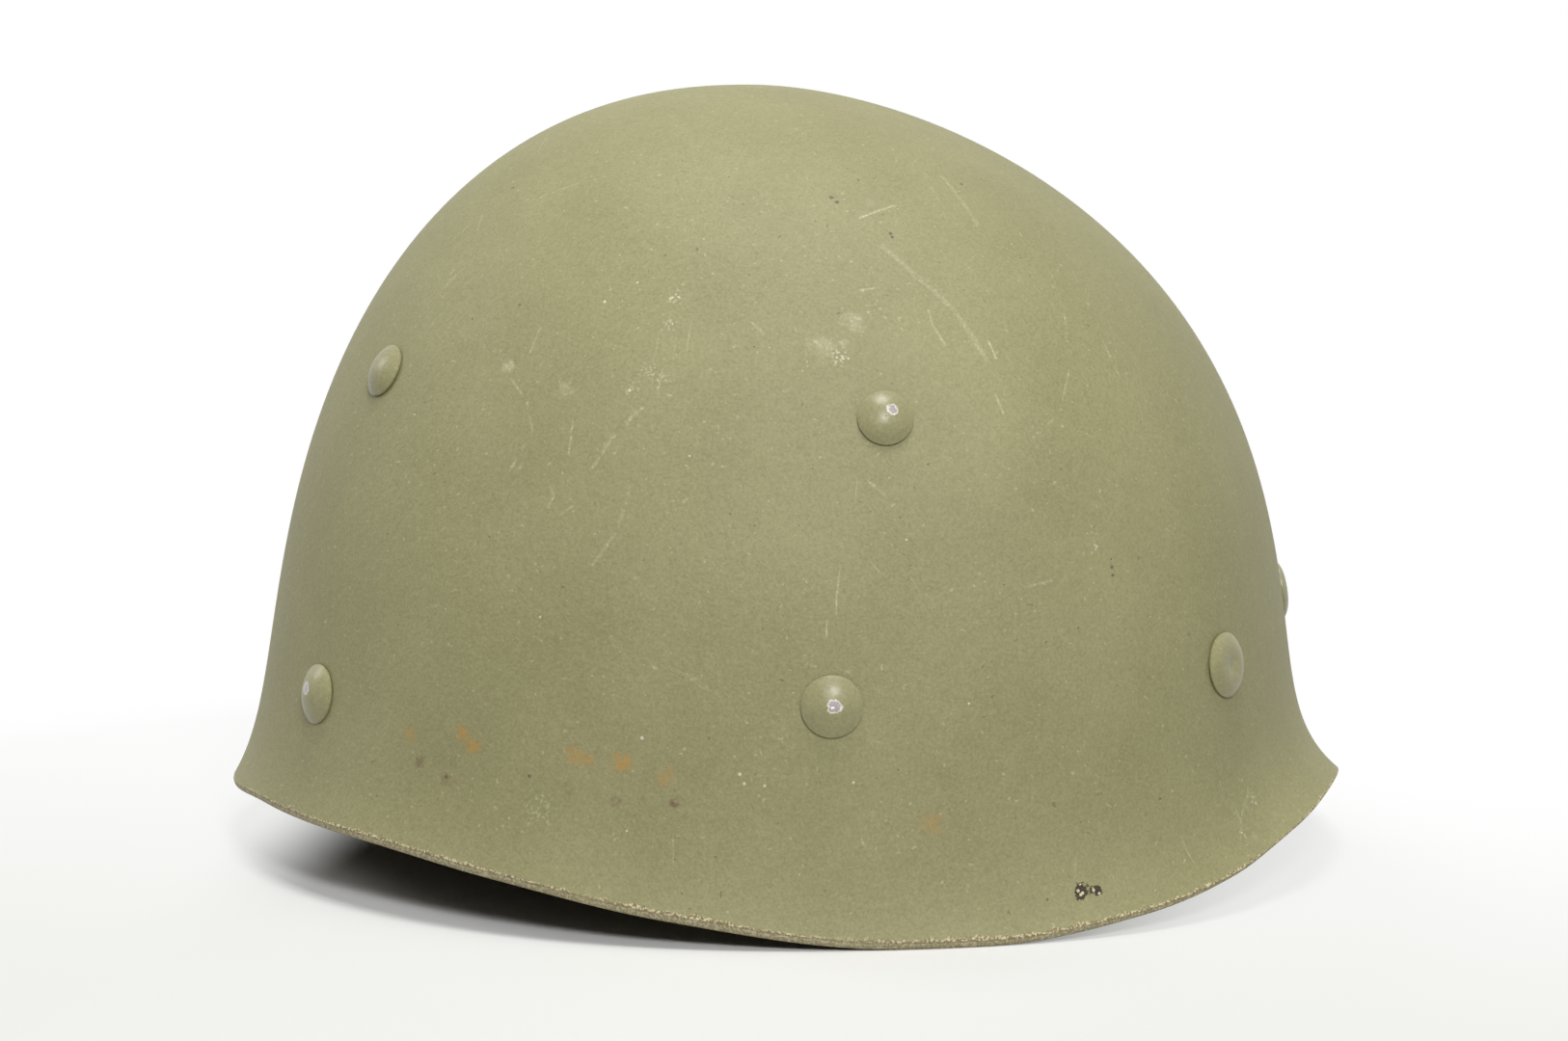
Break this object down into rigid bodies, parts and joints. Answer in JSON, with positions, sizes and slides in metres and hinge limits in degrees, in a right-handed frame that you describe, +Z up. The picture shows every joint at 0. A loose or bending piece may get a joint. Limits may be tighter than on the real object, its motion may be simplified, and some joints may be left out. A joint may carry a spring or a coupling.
{
  "type": "steel pot helmet liner",
  "caption": "Rigid liner of a steel pot helmet: domed laminate shell with visor and flared rim, rivets, web suspension, sweatband, clips and nape strap.",
  "frame": {"origin": "centre of the object's footprint box, at the height of the lowest rim", "axes": "+X towards the visor (front), +Y to the wearer's left, +Z up"},
  "size_m": [0.2605, 0.2284, 0.175],
  "materials": {
    "shell_paint": "matt grainy olive paint on a resin and cloth laminate, scuffed and scratched",
    "rivet_paint": "matt olive paint, rubbed through on the domes",
    "plate_metal": "dark matt lacquer on stamped steel",
    "clip_metal": "blackened sheet metal, edges rubbed bright",
    "webbing": "herringbone cotton webbing",
    "band_cloth": "plain cotton tape",
    "band_leather": "smooth tan leather, darkened by wear"
  },
  "bodies": {
    "helmet": {"shell": "shell_paint", "rivet_front_left": "rivet_paint", "washer_front_left": "plate_metal", "rivet_side_left": "rivet_paint", "washer_side_left": "plate_metal", "rivet_rear_left": "rivet_paint", "washer_rear_left": "plate_metal", "rivet_front_right": "rivet_paint", "washer_front_right": "plate_metal", "rivet_side_right": "rivet_paint", "washer_side_right": "plate_metal", "rivet_rear_right": "rivet_paint", "washer_rear_right": "plate_metal", "rivet_nape_left": "rivet_paint", "washer_nape_left": "plate_metal", "rivet_nape_right": "rivet_paint", "washer_nape_right": "plate_metal", "rivet_nape_centre": "rivet_paint", "washer_nape_centre": "plate_metal", "chin_stud_left": "rivet_paint", "stud_washer_left": "plate_metal", "chin_stud_right": "rivet_paint", "stud_washer_right": "plate_metal", "crown_strap_transverse": "webbing", "crown_strap_diagonal_a": "webbing", "crown_strap_diagonal_b": "webbing", "support_web_ring": "webbing", "nape_band": "webbing", "web_nape_left": "webbing", "web_nape_right": "webbing", "web_nape_centre": "webbing", "sweatband_backing": "band_cloth", "sweatband_leather": "band_leather", "clip_base_1_left": "clip_metal", "clip_base_1_right": "clip_metal", "clip_base_2_left": "clip_metal", "clip_base_2_right": "clip_metal", "clip_base_3_left": "clip_metal", "clip_base_3_right": "clip_metal", "clip_pins": "clip_metal"},
    "clip_jaw_1_left_body": {"clip_jaw_1_left": "clip_metal"},
    "clip_jaw_1_right_body": {"clip_jaw_1_right": "clip_metal"},
    "clip_jaw_2_left_body": {"clip_jaw_2_left": "clip_metal"},
    "clip_jaw_2_right_body": {"clip_jaw_2_right": "clip_metal"},
    "clip_jaw_3_left_body": {"clip_jaw_3_left": "clip_metal"},
    "clip_jaw_3_right_body": {"clip_jaw_3_right": "clip_metal"},
    "size_buckle_body": {"size_buckle": "clip_metal"},
    "nape_buckle_left_body": {"nape_buckle_left": "clip_metal"},
    "nape_buckle_right_body": {"nape_buckle_right": "clip_metal"}
  },
  "joints": [
    {"name": "clip_jaw_1_left_hinge", "type": "hinge", "parent": "helmet", "child": "clip_jaw_1_left_body", "pos_m": [0.07865, 0.06411, 0.04685], "axis": [0.7475, -0.6643, 0], "range_deg": [0, 80]},
    {"name": "clip_jaw_1_right_hinge", "type": "hinge", "parent": "helmet", "child": "clip_jaw_1_right_body", "pos_m": [0.07865, -0.06411, 0.04685], "axis": [-0.7475, -0.6643, 0], "range_deg": [0, 80]},
    {"name": "clip_jaw_2_left_hinge", "type": "hinge", "parent": "helmet", "child": "clip_jaw_2_left_body", "pos_m": [-0.01685, 0.09076, 0.04685], "axis": [0.9887, 0.1496, 0], "range_deg": [0, 80]},
    {"name": "clip_jaw_2_right_hinge", "type": "hinge", "parent": "helmet", "child": "clip_jaw_2_right_body", "pos_m": [-0.01685, -0.09076, 0.04685], "axis": [-0.9887, 0.1496, 0], "range_deg": [0, 80]},
    {"name": "clip_jaw_3_left_hinge", "type": "hinge", "parent": "helmet", "child": "clip_jaw_3_left_body", "pos_m": [-0.09684, 0.0361, 0.04685], "axis": [0.4434, 0.8963, 0], "range_deg": [0, 80]},
    {"name": "clip_jaw_3_right_hinge", "type": "hinge", "parent": "helmet", "child": "clip_jaw_3_right_body", "pos_m": [-0.09684, -0.0361, 0.04685], "axis": [-0.4434, 0.8963, 0], "range_deg": [0, 80]},
    {"name": "size_buckle_slide", "type": "hinge", "parent": "helmet", "child": "size_buckle_body", "pos_m": [-0.02607, 0, 0.014], "axis": [0, 0, 1], "range_deg": [-8, 8]},
    {"name": "nape_buckle_left_slide", "type": "hinge", "parent": "helmet", "child": "nape_buckle_left_body", "pos_m": [-0.02043, 0, 0.018], "axis": [0, 0, 1], "range_deg": [-8, 8]},
    {"name": "nape_buckle_right_slide", "type": "hinge", "parent": "helmet", "child": "nape_buckle_right_body", "pos_m": [-0.02043, 0, 0.018], "axis": [0, 0, 1], "range_deg": [-8, 8]}
  ]
}
